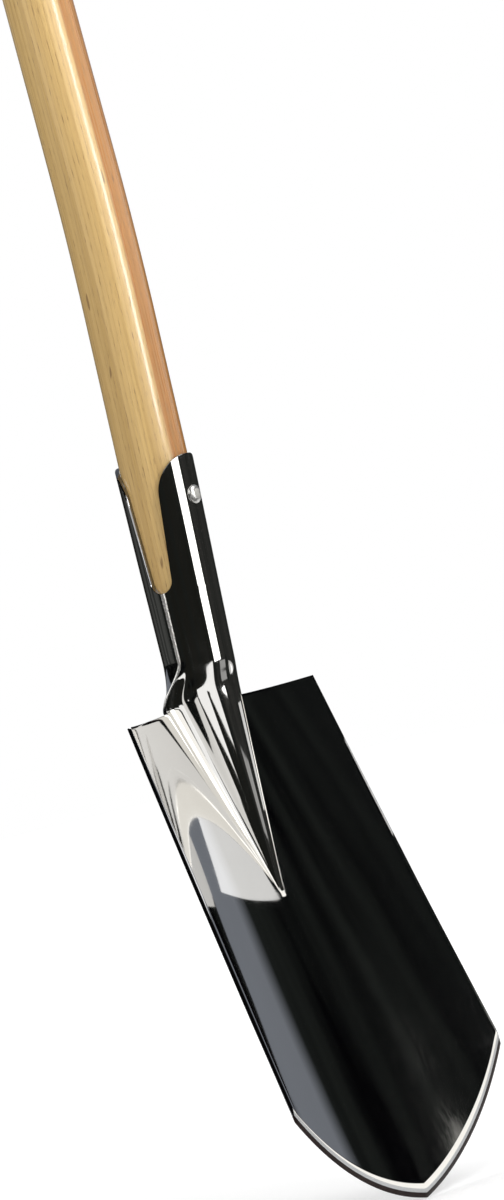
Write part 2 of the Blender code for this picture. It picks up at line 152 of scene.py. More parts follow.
def strap_heights():
    """Heights of the socket's rows, from the straps' tops down to the neck."""
    corner_turn = quarter * np.arange(corner_steps + 1) / corner_steps
    top = socket_length - strap_corner * (1 - np.cos(corner_turn))
    side = mix(top[-1], slot_floor + slot_end_radius, np.arange(1, side_steps) / side_steps)
    end_turn = quarter * np.arange(end_steps, -1, -1) / end_steps
    end = slot_floor + slot_end_radius * (1 - np.cos(end_turn))
    tube = mix(slot_floor, neck_length, np.arange(1, tube_steps + 1) / tube_steps)
    return np.concatenate([top, side, end, tube])


def socket_row(height, radius, facing, shares):
    turn = strap_reach(height) * shares
    return np.stack([radius * np.sin(turn), facing * radius * np.cos(turn),
                     np.full(len(turn), height)], -1)


def flowing(start, start_pull, end, end_pull, share):
    """A smooth curve that leaves start and reaches end along the two pulls."""
    s2, s3 = share ** 2, share ** 3
    return (start * (2 * s3 - 3 * s2 + 1) + start_pull * (s3 - 2 * s2 + share)
            + end * (3 * s2 - 2 * s3) + end_pull * (s3 - s2))


def linked(name, data):
    """A new object in the scene."""
    item = bpy.data.objects.new(name, data)
    bpy.context.scene.collection.objects.link(item)
    return item


def built(name, bm):
    """A new object with the faces that have been built."""
    mesh = bpy.data.meshes.new(name)
    bm.to_mesh(mesh)
    bm.free()
    return linked(name, mesh)


def closed_sheet(name, front, back, marked_row=None):
    """One closed body between two grids of half rows, which are mirrored across the middle.

    Returns the object and the points along its rim. Past the marked row the front takes the
    second material, and from the next row on the third.
    """
    def whole(rows):
        rows = np.array(rows)
        left = rows[:, :0:-1] * np.array([-1.0, 1.0, 1.0])
        return np.concatenate([left, rows], 1)

    grids = [whole(front), whole(back)]
    there = ~np.isnan(grids[0][:, :, 0])
    bm = bmesh.new()
    index = [np.full(there.shape, None, object) for _ in grids]
    for grid, verts in zip(grids, index):
        for r, c in np.argwhere(there):
            verts[r, c] = bm.verts.new(Vector(grid[r, c]) + socket_foot)
    edges = set()
    last_row = there.shape[0] - 1
    for r, c in np.argwhere(there):
        cell = [(r, c), (r + 1, c), (r + 1, c + 1), (r, c + 1)]
        if r == last_row or c + 1 == there.shape[1] or not all(there[spot] for spot in cell):
            continue
        face = bm.faces.new([index[0][spot] for spot in cell])
        if marked_row is not None:
            face.material_index = min(max(r - marked_row + 1, 0), 2)
        bm.faces.new([index[1][spot] for spot in reversed(cell)])
        edges.update(zip(cell, cell[1:] + cell[:1]))
    rim = []
    for a, b in edges:
        if (b, a) not in edges:
            face = bm.faces.new([index[0][b], index[0][a], index[1][a], index[1][b]])
            if marked_row is not None and min(a[0], b[0]) > marked_row:
                face.material_index = 2
            rim += [index[0][a].co.copy(), index[1][a].co.copy()]
    bmesh.ops.recalc_face_normals(bm, faces=bm.faces)
    return built(name, bm), rim


def beat(item, height, pitch, seed):
    """Move the surface in and out a little, as hammer and polishing wheel leave it.

    Nothing moves out past the blade's corners.
    """
    normals = [vertex.normal.copy() for vertex in item.data.vertices]
    for vertex, normal in zip(item.data.vertices, normals):
        place = vertex.co * (1 / pitch) + Vector((seed, 0.0, 0.0))
        vertex.co += normal * (height * noise.noise(place))
        vertex.co.x = min(max(vertex.co.x, -corner_half), corner_half)


def settle(item):
    """Replace the object's mesh by the evaluated one, and drop its modifiers."""
    bpy.context.view_layer.update()
    evaluated = item.evaluated_get(bpy.context.evaluated_depsgraph_get())
    mesh = bpy.data.meshes.new_from_object(evaluated)
    item.modifiers.clear()
    item.data = mesh
    mesh.name = item.name


def smooth(item):
    """Shade the surface as round, and keep its sharp edges."""
    item.data.shade_smooth()
    item.data.set_sharp_from_angle(angle=sharp_angle)


def soften(item):
    """Round the arrises, and turn the result into a plain mesh."""
    modifier = item.modifiers.new("arris", "BEVEL")
    modifier.width = arris
    modifier.segments = 2
    modifier.limit_method = "ANGLE"
    modifier.angle_limit = math.radians(60)
    settle(item)
    smooth(item)


def note_rim(item, rim):
    """Store each point's distance from the rim, for a darker tone along the edges."""
    tree = KDTree(len(rim))
    for i, point in enumerate(rim):
        tree.insert(point, i)
    tree.balance()
    layer = item.data.attributes.new("rim", "FLOAT", "POINT")
    layer.data.foreach_set("value", [tree.find(vertex.co)[2] for vertex in item.data.vertices])


crest_steps, fillet_steps, flange_steps = 14, 9, 22
ridge_x, ridge_rise = ridge_section(crest_steps, fillet_steps)
ridge_foot = ridge_x[-1]
centre_count = len(ridge_x)
total_count = centre_count + flange_steps
crest_share = 0.78
shares = np.concatenate([crest_share * np.arange(crest_steps + 1) / crest_steps,
                         mix(crest_share, 1.0, np.arange(1, fillet_steps + 1) / fillet_steps)])
ridge_rows, neck_steps, lower_rows = 60, 26, 52
spread_rate = 1.6


def padded(row):
    """A row of socket or neck, filled up with places that hold no metal."""
    return np.concatenate([row, np.full((total_count - len(row), 3), np.nan)])


def sheet_rows(x, z, rise):
    front = blade_points(x, sheet_y(x, z, 0.0) - rise, z)
    back = blade_points(x, sheet_y(x, z, sheet), z)
    return front, back


def ridge_row(share):
    """Sheet with the ridge on it, a share of the way from the shoulders to the apex."""
    x = ridge_x / ridge_foot * mix(ridge_foot, ridge_tip_half, share)
    z = np.full(centre_count, -ridge_length * share)
    side_z = mix(-shoulder_fall, -ridge_length, share)
    steps = np.arange(1, flange_steps + 1) / flange_steps
    x = np.concatenate([x, mix(x[-1], half_width(side_z), steps)])
    z = np.concatenate([z, mix(z[-1], side_z, steps)])
    rise = np.concatenate([ridge_rise * (1 - share), np.zeros(flange_steps)])
    return x, sheet_rows(x, z, rise)


front, back = [], []
for height in strap_heights():
    radius = socket_radius(height)
    front.append(padded(socket_row(height, radius, -1, shares)))
    back.append(padded(socket_row(height, radius - strap, -1, shares)))
apex = blade_points(0.0, sheet_y(0.0, -ridge_length, 0.0), -ridge_length)
_, (low_front, low_back) = ridge_row(0.0)
low_front, low_back = low_front[:centre_count], low_back[:centre_count]
down = np.array([0.0, 0.0, -neck_length])
blade_down = blade_points(0.0, 0.0, -neck_length) - blade_points(0.0, 0.0, 0.0)
front_pull = (apex - low_front) * (neck_length / ridge_length)
tops = front[-1][:centre_count], back[-1][:centre_count]
for i in range(1, neck_steps):
    share = i / neck_steps
    front.append(padded(flowing(tops[0], down, low_front, front_pull, share)))
    back.append(padded(flowing(tops[1], down, low_back, blade_down, share)))
for i in range(ridge_rows + 1):
    x, (row_front, row_back) = ridge_row(i / ridge_rows)
    front.append(row_front)
    back.append(row_back)
start_shares = x / x[-1]
even_shares = np.arange(total_count) / (total_count - 1)


def lower_row(share, inset):
    """Sheet below the apex, where rows bend towards the cutting edge and their points even out."""
    width = half_width(mix(-ridge_length, edge_z(corner_half, inset), share))
    x = mix(start_shares, even_shares, min(share * spread_rate, 1.0)) * width
    z = mix(-ridge_length, edge_z(x, inset), share)
    return sheet_rows(x, z, 0.0)


for i in range(1, lower_rows + 1):
    row_front, row_back = lower_row(i / lower_rows, bevel_width)
    front.append(row_front)
    back.append(row_back)
ground_row = len(front) - 1
_, edge_back = lower_row(1.0, 0.0)
land = blade_points(0.0, -edge_land, 0.0) - blade_points(0.0, 0.0, 0.0)
for share in (ground_share, 1.0):
    front.append(mix(front[ground_row], edge_back + land, share))
    back.append(mix(back[ground_row], edge_back, share))
shoulder_row = len(strap_heights()) + neck_steps
blade_seam = [row[centre_count - 1] for row in front[:shoulder_row]]
blade, blade_rim = closed_sheet("forged_blade", front, back, ground_row)
beat(blade, height=0.00010, pitch=0.045, seed=3.0)
soften(blade)
note_rim(blade, blade_rim)


class Nodes:
    """Short ways to add nodes to one tree."""

    def __init__(self, tree):
        self.tree = tree

    def put(self, node, key, value):
        """Set a node's input to a value, or join it to an output."""
        if isinstance(value, bpy.types.NodeSocket):
            self.tree.links.new(value, node.inputs[key])
        else:
            node.inputs[key].default_value = value

    def add(self, kind, values=(), **settings):
        node = self.tree.nodes.new(kind)
        for key, value in settings.items():
            setattr(node, key, value)
        for key, value in dict(values).items():
            self.put(node, key, value)
        return node

    def calc(self, operation, *terms):
        return self.add("ShaderNodeMath", dict(enumerate(terms)), operation=operation).outputs[0]

    def ramp(self, value, low, high, start=0.0, end=1.0):
        """What runs from low to high, turned into what runs from start to end."""
        return self.add("ShaderNodeMapRange", {"Value": value, "From Min": low, "From Max": high,
                                               "To Min": start, "To Max": end}).outputs["Result"]

    def blend(self, share, a, b):
        """Colour a where the share is 0, and colour b where it is 1."""
        return self.add("ShaderNodeMix", {"Factor": share, "A": a, "B": b},
                        data_type="RGBA").outputs["Result"]

    def speckle(self, place, scale, detail, coarse=0.5):
        return self.add("ShaderNodeTexNoise", {"Vector": place, "Scale": scale, "Detail": detail,
                                               "Roughness": coarse}).outputs[0]

    def relief(self, height, strength, depth):
        return self.add("ShaderNodeBump", {"Strength": strength, "Distance": depth,
                                           "Height": height}).outputs[0]


def new_material(name):
    """A material, short ways to add its nodes, and one to set or join an input of its shader."""
    material = bpy.data.materials.new(name)
    material.use_nodes = True
    nodes = Nodes(material.node_tree)
    shader = material.node_tree.nodes["Principled BSDF"]

    def shade(key, value):
        nodes.put(shader, key, value)

    return material, nodes, shade


def steel_finish(name, tilt):
    """Mirror-polished steel with the wheel's fine streaks in it, darker along the rim in a ragged band."""
    material, nodes, shade = new_material(name)
    calc = nodes.calc
    place = nodes.add("ShaderNodeTexCoord").outputs["Object"]
    along = nodes.add("ShaderNodeMapping", {"Vector": place, "Rotation": (tilt, 0, 0),
                                            "Scale": (1, 1, 0.06)})
    streak = nodes.speckle(along.outputs[0], 420.0, 6.0, 0.6)
    cloud = nodes.speckle(place, 34.0, 5.0, 0.55)
    ragged = nodes.speckle(place, 900.0, 4.0)
    rim = nodes.add("ShaderNodeAttribute", attribute_name="rim").outputs["Fac"]
    darker_rim = nodes.ramp(calc("SUBTRACT", rim, calc("MULTIPLY", ragged, 0.0012)), 0.0001, -0.0002)
    polished = nodes.blend(cloud, (0.68, 0.67, 0.65, 1), (0.74, 0.73, 0.71, 1))
    shade("Base Color", nodes.blend(darker_rim, polished, (0.32, 0.32, 0.33, 1)))
    shade("Metallic", 1.0)
    shade("Roughness", nodes.ramp(streak, 0.3, 0.75, 0.025, 0.06))
    shade("Normal", nodes.relief(streak, 0.2, 0.00001))
    return material


def grainy_finish(name, tones, gloss, scale, detail, strength, depth, coarse=0.5, metallic=1.0,
                  drawn=(1.0, 1.0, 1.0)):
    """A finish whose tone, gloss and relief follow one fine grain, which may be drawn out one way."""
    material, nodes, shade = new_material(name)
    place = nodes.add("ShaderNodeTexCoord").outputs["Object"]
    place = nodes.add("ShaderNodeMapping", {"Vector": place, "Scale": drawn}).outputs[0]
    grain = nodes.speckle(place, scale, detail, coarse)
    shade("Base Color", nodes.blend(grain, *tones))
    shade("Metallic", metallic)
    shade("Roughness", nodes.ramp(grain, 0.0, 1.0, *gloss))
    shade("Normal", nodes.relief(grain, strength, depth))
    return material


blade_polish = steel_finish("blade_polish", -lift)
ground_steel = grainy_finish("ground_steel", ((0.42, 0.43, 0.44, 1), (0.66, 0.67, 0.68, 1)),
                             gloss=(0.34, 0.34), scale=1500.0, detail=3.0, strength=0.5, depth=0.00003)
# The lip's near-black tone is a painted dark reflection of the dark studio, not a colour of the steel.
lip_painted_dark_reflection = grainy_finish("lip_painted_dark_reflection", ((0.012, 0.008, 0.007, 1), (0.036, 0.023, 0.021, 1)),
                          gloss=(0.22, 0.42), scale=160.0, detail=4.0, strength=0.4, depth=0.00003)
for finish in (blade_polish, ground_steel, lip_painted_dark_reflection):
    blade.data.materials.append(finish)
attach(blade, "root")
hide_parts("blade")

# Back strap: the other half of the socket, a second steel piece. It is welded to the blade along
# the seam, and its lower end is a flattened tongue laid against the back of the ridge.
tongue_length = 0.082
tongue_inset = 0.0030
tongue_edge = 0.0016
tongue_crown = 0.0030
tongue_tip_half = 0.0030
tongue_tip_crown = 0.0008
tongue_rows = 40


def tongue_row(share):
    z = -tongue_length * share
    x = mix(ridge_foot - tongue_inset, tongue_tip_half, share) * shares
    under = sheet_y(x, z, sheet) + seat_gap
    crown = mix(tongue_crown, tongue_tip_crown, share)
    face = blade_points(x, under + tongue_edge + crown * (1 - shares ** 2), z)
    return face, blade_points(x, under, z)


front, back = [], []
for height in strap_heights():
    radius = socket_radius(height)
    front.append(socket_row(height, radius, 1, shares))
    back.append(socket_row(height, radius - strap, 1, shares))
face, seat = tongue_row(0.0)
face_pull = tongue_row(neck_length / tongue_length)[0] - face
tops = front[-1], back[-1]
for i in range(1, neck_steps):
    share = i / neck_steps
    front.append(flowing(tops[0], down, face, face_pull, share))
    back.append(flowing(tops[1], down, seat, blade_down, share))
for i in range(tongue_rows + 1):
    face, seat = tongue_row(i / tongue_rows)
    front.append(face)
    back.append(seat)
strap_seam = [row[-1] for row in front[:shoulder_row]]
back_strap, strap_rim = closed_sheet("back_strap_half", front, back)
beat(back_strap, height=0.00006, pitch=0.030, seed=9.0)
soften(back_strap)
note_rim(back_strap, strap_rim)
back_strap.data.materials.append(steel_finish("strap_polish", 0.0))
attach(back_strap, "root")
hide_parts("back_strap")

# Seam welds: the two halves of the socket are welded along both sides, from the slot down to the
# blade. The beads are dressed with a wheel, which leaves a narrow line of bare bright steel.
def rule_tree(name, sizes):
    """A Geometry Nodes tree with a named input for each size, and short ways to add its nodes."""
    tree = bpy.data.node_groups.new(name, "GeometryNodeTree")
    for way in ("INPUT", "OUTPUT"):
        tree.interface.new_socket("Geometry", in_out=way, socket_type="NodeSocketGeometry")
    for key, value in sizes.items():
        kind = "NodeSocketInt" if isinstance(value, int) else "NodeSocketFloat"
        tree.interface.new_socket(key, in_out="INPUT", socket_type=kind)
    nodes = Nodes(tree)
    given = nodes.add("NodeGroupInput").outputs
    return nodes, given, nodes.add, nodes.calc, nodes.ramp


def rule_piece(name, nodes, sizes, geometry, material, start=None):
    """Close the tree, and turn what it gives for the sizes into a plain mesh in the row's frame."""
    real = nodes.add("GeometryNodeRealizeInstances", {"Geometry": geometry})
    dressed = nodes.add("GeometryNodeSetMaterial", {"Geometry": real.outputs[0], "Material": material})
    nodes.add("NodeGroupOutput", {"Geometry": dressed.outputs[0]})
    item = linked(name, start or bpy.data.meshes.new(name))
    modifier = item.modifiers.new(name, "NODES")
    modifier.node_group = nodes.tree
    for socket in nodes.tree.interface.items_tree:
        if socket.in_out == "INPUT" and socket.name in sizes:
            modifier[socket.identifier] = sizes[socket.name]
    settle(item)
    item.data.transform(Matrix.Translation(socket_foot))
    smooth(item)
    return item


def round_skin(add, path, radius, sides):
    """A closed round skin along a path, with a radius for each of its points."""
    section = add("GeometryNodeCurvePrimitiveCircle", {"Resolution": sides, "Radius": 1.0})
    return add("GeometryNodeCurveToMesh", {"Curve": path, "Profile Curve": section.outputs["Curve"],
                                           "Scale": radius, "Fill Caps": True}).outputs[0]


weld_steel = grainy_finish("weld_steel", ((0.48, 0.47, 0.45, 1), (0.84, 0.83, 0.80, 1)), gloss=(0.20, 0.50),
                           scale=700.0, detail=5.0, coarse=0.7, strength=0.6, depth=0.00006)
weld_sizes = {"Bead Radius": 0.0013, "Taper": 0.45, "Ripple Pitch": 0.0022, "Ripple Depth": 0.02,
              "Unevenness": 0.35, "Lumps per Metre": 160.0, "Points": 240, "Sides": 14, "Seed": 4}
nodes, given, add, calc, ramp = rule_tree("weld_bead", weld_sizes)
path = add("GeometryNodeMeshToCurve", {"Mesh": given["Geometry"]})
path = add("GeometryNodeResampleCurve", {"Curve": path.outputs[0], "Count": given["Points"]})
along = add("GeometryNodeSplineParameter").outputs
narrowing = calc("SUBTRACT", 1.0, calc("MULTIPLY", given["Taper"], along["Factor"]))
phase = calc("DIVIDE", calc("MULTIPLY", along["Length"], 2 * math.pi), given["Ripple Pitch"])
ripple = calc("ADD", 1.0, calc("MULTIPLY", calc("SINE", phase), given["Ripple Depth"]))
lumps = calc("ADD", given["Seed"], calc("MULTIPLY", along["Length"], given["Lumps per Metre"]))
chance = add("ShaderNodeTexNoise", {"W": lumps, "Scale": 1.0, "Detail": 2.0}, noise_dimensions="1D")
uneven = calc("MULTIPLY", calc("SUBTRACT", chance.outputs[0], 0.5), given["Unevenness"])
swell = calc("MULTIPLY", narrowing, calc("MULTIPLY", ripple, calc("ADD", 1.0, uneven)))
beads = round_skin(add, path.outputs[0], calc("MULTIPLY", given["Bead Radius"], swell), given["Sides"])
slot_row = len(strap_heights()) - tube_steps - 1
seams = zip(blade_seam[slot_row:], strap_seam[slot_row:])
line_points = [Vector(mix(ours, theirs, 0.5)) for ours, theirs in seams]
both = [Vector((side * point.x, point.y, point.z)) for side in (-1, 1) for point in line_points]
count = len(line_points)
line_edges = [(first + i, first + i + 1) for first in (0, count) for i in range(count - 1)]
line_mesh = bpy.data.meshes.new("seam_line")
line_mesh.from_pydata(both, line_edges, [])
seam_welds = rule_piece("seam_welds", nodes, weld_sizes, beads, weld_steel, line_mesh)
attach(seam_welds, "root")

# Shaft: one straight-grained piece of ash, turned round and bent in steam. Its foot is tapered to
# fill the socket, its top is cut down to a tenon for the grip, and the wood is sanded and oiled.
grip_radius = 0.0185
grip_seat = 0.0045
tenon_proud = 0.0004
bend_start, bend_length, bend_angle = 0.080, 0.090, math.radians(2.7)
shaft_rise = 0.655
tenon_radius = 0.0120
wood_floor = neck_length + seat_gap
grip_centre = shaft_rise + grip_radius - grip_seat
tenon_top = grip_centre + grip_radius + tenon_proud


def bent(distance):
    """Where the shaft's middle line is, a distance above the straps: y, z and its lean."""
    bend_radius = bend_length / bend_angle
    beyond = np.maximum(distance - bend_start, 0.0)
    lean = np.minimum(beyond / bend_radius, bend_angle)
    straight = np.maximum(beyond - bend_length, 0.0)
    y = bend_radius * (1 - np.cos(lean)) + straight * np.sin(lean)
    z = np.minimum(distance, bend_start) + bend_radius * np.sin(lean) + straight * np.cos(lean)
    return y, socket_length + z, lean


def note_grain(item, middle, lengthwise):
    """Store each point's place across and along the wood's grain."""
    places = np.empty(len(item.data.vertices) * 3)
    item.data.vertices.foreach_get("co", places)
    places = places.reshape(-1, 3) - np.array(socket_foot)
    if lengthwise:
        across = places[:, 0], places[:, 1] - middle(places[:, 2])
        along = places[:, 2]
    else:
        across = places[:, 1] - middle[1], places[:, 2] - middle[2]
        along = places[:, 0]
    layer = item.data.attributes.new("grain", "FLOAT_VECTOR", "POINT")
    layer.data.foreach_set("vector", np.stack([*across, along], -1).ravel())


def ash_finish(name, pith, shade_side_way, shade_side_start, seed):
    """Oiled ash: rings round a pith off to one side, long fibres, pores, and one side darker and more
    orange, partly heartwood tone and partly painted shade.
    """
    material, nodes, shade = new_material(name)
    calc, blend, above = nodes.calc, nodes.blend, nodes.ramp
    grain = nodes.add("ShaderNodeAttribute", attribute_name="grain").outputs["Vector"]

    def grained(stretch, scale, detail, offset):
        moved = nodes.add("ShaderNodeMapping", {"Vector": grain, "Location": (seed, offset, 0.0),
                                                "Scale": (1.0, 1.0, stretch)})
        return nodes.speckle(moved.outputs[0], scale, detail, 0.6)

    centred = nodes.add("ShaderNodeMapping", {"Vector": grain, "Location": (*pith, seed),
                                              "Scale": (1.0, 1.0, 0.03)})
    rings = nodes.add("ShaderNodeTexWave", {"Vector": centred.outputs[0], "Scale": 120.0, "Distortion": 2.2,
                                            "Detail": 2.0, "Detail Scale": 0.6, "Detail Roughness": 0.5},
                      wave_type="RINGS", rings_direction="Z", wave_profile="SAW").outputs["Fac"]
    early = above(rings, 0.60, 0.95)
    fibre = grained(0.012, 900.0, 5.0, 0.3)
    broad = grained(0.010, 140.0, 3.0, 0.7)
    pores = above(grained(0.05, 2600.0, 2.0, 1.1), 0.56, 0.68)
    flecks = above(grained(0.16, 210.0, 1.0, 1.9), 0.735, 0.76)
    split = nodes.add("ShaderNodeSeparateXYZ", {"Vector": grain}).outputs
    # One side of the wood is darker and more orange: partly heartwood tone, partly painted shade on the
    # side away from the key light.
    facing = calc("ADD", calc("MULTIPLY", split[0], shade_side_way[0]), calc("MULTIPLY", split[1], shade_side_way[1]))
    drift = calc("MULTIPLY", calc("SUBTRACT", broad, 0.5), 0.007)
    heartwood_and_shade = above(calc("ADD", facing, drift), shade_side_start, shade_side_start + 0.0012)
    streaks = above(broad, 0.36, 0.64)
    pale = blend(streaks, (0.64, 0.44, 0.182, 1), (0.48, 0.31, 0.110, 1))
    heartwood_and_shade_tone = blend(streaks, (0.41, 0.170, 0.034, 1), (0.31, 0.118, 0.022, 1))
    wood = blend(heartwood_and_shade, pale, heartwood_and_shade_tone)
    wood = blend(calc("MULTIPLY", above(fibre, 0.35, 0.75), 0.38), wood, (0.40, 0.245, 0.09, 1))
    wood = blend(calc("MULTIPLY", early, 0.24), wood, (0.36, 0.20, 0.075, 1))
    open_pores = calc("MULTIPLY", calc("MULTIPLY", pores, calc("ADD", 0.25, early)), 0.7)
    wood = blend(open_pores, wood, (0.16, 0.085, 0.035, 1))
    wood = blend(calc("MULTIPLY", flecks, 0.6), wood, (0.13, 0.065, 0.03, 1))
    shade("Base Color", wood)
    shade("Roughness", above(fibre, 0.3, 0.7, 0.22, 0.38))
    raised = calc("SUBTRACT", calc("SUBTRACT", fibre, calc("MULTIPLY", pores, 0.5)),
                  calc("MULTIPLY", early, 0.25))
    shade("Normal", nodes.relief(raised, 0.45, 0.00010))
    shade("Coat Weight", 0.7)
    shade("Coat Roughness", 0.13)
    return material


def lathe(add, axis, rows, place, radius, sides):
    """A round solid along an axis, with a place on it and a radius worked out for each row."""
    line = add("GeometryNodeCurvePrimitiveLine")
    line = add("GeometryNodeResampleCurve", {"Curve": line.outputs[0], "Count": rows})
    middle = add("ShaderNodeCombineXYZ", {axis: place})
    line = add("GeometryNodeSetPosition", {"Geometry": line.outputs[0], "Position": middle.outputs[0]})
    return round_skin(add, line.outputs[0], radius, sides)


shaft_ash = ash_finish("shaft_ash_oiled", (0.026, -0.034), (0.518, -0.826), 0.0095, 2.0)
shaft_sizes = {"Foot": wood_floor - socket_length,
               "Foot Radius": socket_radius(wood_floor) - strap - seat_gap,
               "Handle Radius": handle_radius, "Top Radius": 0.0178, "Rise": shaft_rise,
               "Bend Start": bend_start, "Bend Length": bend_length, "Bend Angle": bend_angle,
               "Tenon Radius": tenon_radius, "Tenon Length": tenon_top - shaft_rise,
               "Shoulder Step": 0.0001, "Rows": 300, "Sides": 96}
nodes, given, add, calc, ramp = rule_tree("turned_and_bent", shaft_sizes)
index = add("GeometryNodeInputIndex").outputs[0]
shoulder = calc("SUBTRACT", given["Rows"], 4.0)
tenon_foot = calc("SUBTRACT", given["Rows"], 3.0)
last = calc("SUBTRACT", given["Rows"], 1.0)
along = calc("ADD", ramp(index, 0.0, shoulder, given["Foot"], given["Rise"]),
             calc("ADD", ramp(index, shoulder, tenon_foot, 0.0, given["Shoulder Step"]),
                  ramp(index, tenon_foot, last, 0.0, given["Tenon Length"])))
narrowing = calc("SUBTRACT", given["Top Radius"], given["Handle Radius"])
turned = calc("ADD", ramp(along, given["Foot"], 0.0, given["Foot Radius"], given["Handle Radius"]),
              ramp(along, 0.0, given["Rise"], 0.0, narrowing))
on_tenon = calc("GREATER_THAN", index, calc("ADD", shoulder, 0.5))
radius = calc("ADD", calc("MULTIPLY", turned, calc("SUBTRACT", 1.0, on_tenon)),
              calc("MULTIPLY", given["Tenon Radius"], on_tenon))
stick = lathe(add, "Z", given["Rows"], along, radius, given["Sides"])
spot = add("ShaderNodeSeparateXYZ", {"Vector": add("GeometryNodeInputPosition").outputs[0]}).outputs
bend_radius = calc("DIVIDE", given["Bend Length"], given["Bend Angle"])
beyond = calc("MAXIMUM", calc("SUBTRACT", spot["Z"], given["Bend Start"]), 0.0)
lean = calc("MINIMUM", calc("DIVIDE", beyond, bend_radius), given["Bend Angle"])
straight = calc("MAXIMUM", calc("SUBTRACT", beyond, given["Bend Length"]), 0.0)
rise, fall = calc("SINE", lean), calc("COSINE", lean)
middle_y = calc("ADD", calc("MULTIPLY", bend_radius, calc("SUBTRACT", 1.0, fall)),
                calc("MULTIPLY", straight, rise))
middle_z = calc("ADD", calc("MINIMUM", spot["Z"], given["Bend Start"]),
                calc("ADD", calc("MULTIPLY", bend_radius, rise), calc("MULTIPLY", straight, fall)))
curved = add("ShaderNodeCombineXYZ", {
    "X": spot["X"], "Y": calc("ADD", middle_y, calc("MULTIPLY", spot["Y"], fall)),
    "Z": calc("ADD", calc("SUBTRACT", middle_z, calc("MULTIPLY", spot["Y"], rise)), socket_length)})
stick = add("GeometryNodeSetPosition", {"Geometry": stick, "Position": curved.outputs[0]})
shaft = rule_piece("bent_shaft", nodes, shaft_sizes, stick.outputs[0], shaft_ash)
beat(shaft, height=0.00006, pitch=0.060, seed=5.0)
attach(shaft, "root")
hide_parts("shaft")

# Rivet: one soft steel rivet through both straps and the wood. The hole is drilled with the shaft
# in place, and both heads are drawn down until they lie on the curve of the straps.
rivet_height = socket_length - 0.0230
drill_length = 0.1


def rod(start, way, length, radius, sides=96):
    """A round cutter from a start along a way."""
    bm = bmesh.new()
    turned = Vector(way).to_track_quat("Z", "Y").to_matrix().to_4x4()
    middle = Vector(start) + Vector(way) * (length / 2) + socket_foot
    bmesh.ops.create_cone(bm, cap_ends=True, segments=sides, radius1=radius, radius2=radius, depth=length,
                          matrix=Matrix.Translation(middle) @ turned)
    return built("rod", bm)


def carve(item, cutter, operation="DIFFERENCE"):
    """Cut one object with another, or keep what they share, as a plain mesh."""
    modifier = item.modifiers.new("carve", "BOOLEAN")
    modifier.solver = "EXACT"
    modifier.operation = operation
    modifier.object = cutter
    settle(item)


def scrap(*items):
    """Throw used cutters away."""
    for item in items:
        bpy.data.objects.remove(item, do_unlink=True)


rivet_sizes = {"Seat Radius": socket_radius(rivet_height) + seat_gap, "Shank Radius": 0.0030,
               "Head Radius": 0.0052, "Head Height": 0.0024, "Head Step": 0.00002, "Dimple Depth": 0.0012,
               "Dimple Start": quarter * 0.55, "Dome Rows": 18, "Sides": 64}
drill_start = (0, -drill_length / 2, rivet_height)
drill = rod(drill_start, (0, 1, 0), drill_length, rivet_sizes["Shank Radius"] + seat_gap)
for piece in (blade, back_strap, shaft):
    carve(piece, drill)
    piece.data.set_sharp_from_angle(angle=sharp_angle)
scrap(drill)
nodes, given, add, calc, ramp = rule_tree("drawn_rivet", rivet_sizes)
rows = calc("ADD", calc("MULTIPLY", given["Dome Rows"], 2.0), 4.0)
index = add("GeometryNodeInputIndex").outputs[0]
signed = calc("SUBTRACT", index, calc("DIVIDE", calc("SUBTRACT", rows, 1.0), 2.0))
side = calc("SIGN", signed)
step = calc("ABSOLUTE", signed)
turn = ramp(step, 1.5, calc("ADD", given["Dome Rows"], 1.5), 0.0, quarter)
on_head = calc("GREATER_THAN", step, 1.0)
dimple = ramp(turn, given["Dimple Start"], quarter)
dimple = calc("MULTIPLY", given["Dimple Depth"], calc("MULTIPLY", dimple, dimple))
dome = calc("SUBTRACT", calc("MULTIPLY", given["Head Height"], calc("SINE", turn)), dimple)
out = calc("ADD", given["Seat Radius"], calc("ADD", calc("MULTIPLY", on_head, given["Head Step"]), dome))
head = calc("MULTIPLY", given["Head Radius"], calc("MAXIMUM", calc("COSINE", turn), 0.0001))
radius = calc("ADD", calc("MULTIPLY", head, on_head),
              calc("MULTIPLY", given["Shank Radius"], calc("SUBTRACT", 1.0, on_head)))
body = lathe(add, "Y", rows, calc("MULTIPLY", out, side), radius, given["Sides"])
spot = add("ShaderNodeSeparateXYZ", {"Vector": add("GeometryNodeInputPosition").outputs[0]}).outputs
chord = calc("SQRT", calc("SUBTRACT", calc("MULTIPLY", given["Seat Radius"], given["Seat Radius"]),
                          calc("MULTIPLY", spot["X"], spot["X"])))
sag = calc("MULTIPLY", calc("SUBTRACT", given["Seat Radius"], chord), calc("SIGN", spot["Y"]))
drawn = add("ShaderNodeCombineXYZ", {"X": spot["X"], "Y": calc("SUBTRACT", spot["Y"], sag),
                                     "Z": calc("ADD", spot["Z"], rivet_height)})
body = add("GeometryNodeSetPosition", {"Geometry": body, "Position": drawn.outputs[0]})
rivet = rule_piece("drawn_rivet", nodes, rivet_sizes, body.outputs[0], weld_steel)
beat(rivet, height=0.00012, pitch=0.0024, seed=7.0)
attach(rivet, "root")
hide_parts("strap_rivet")

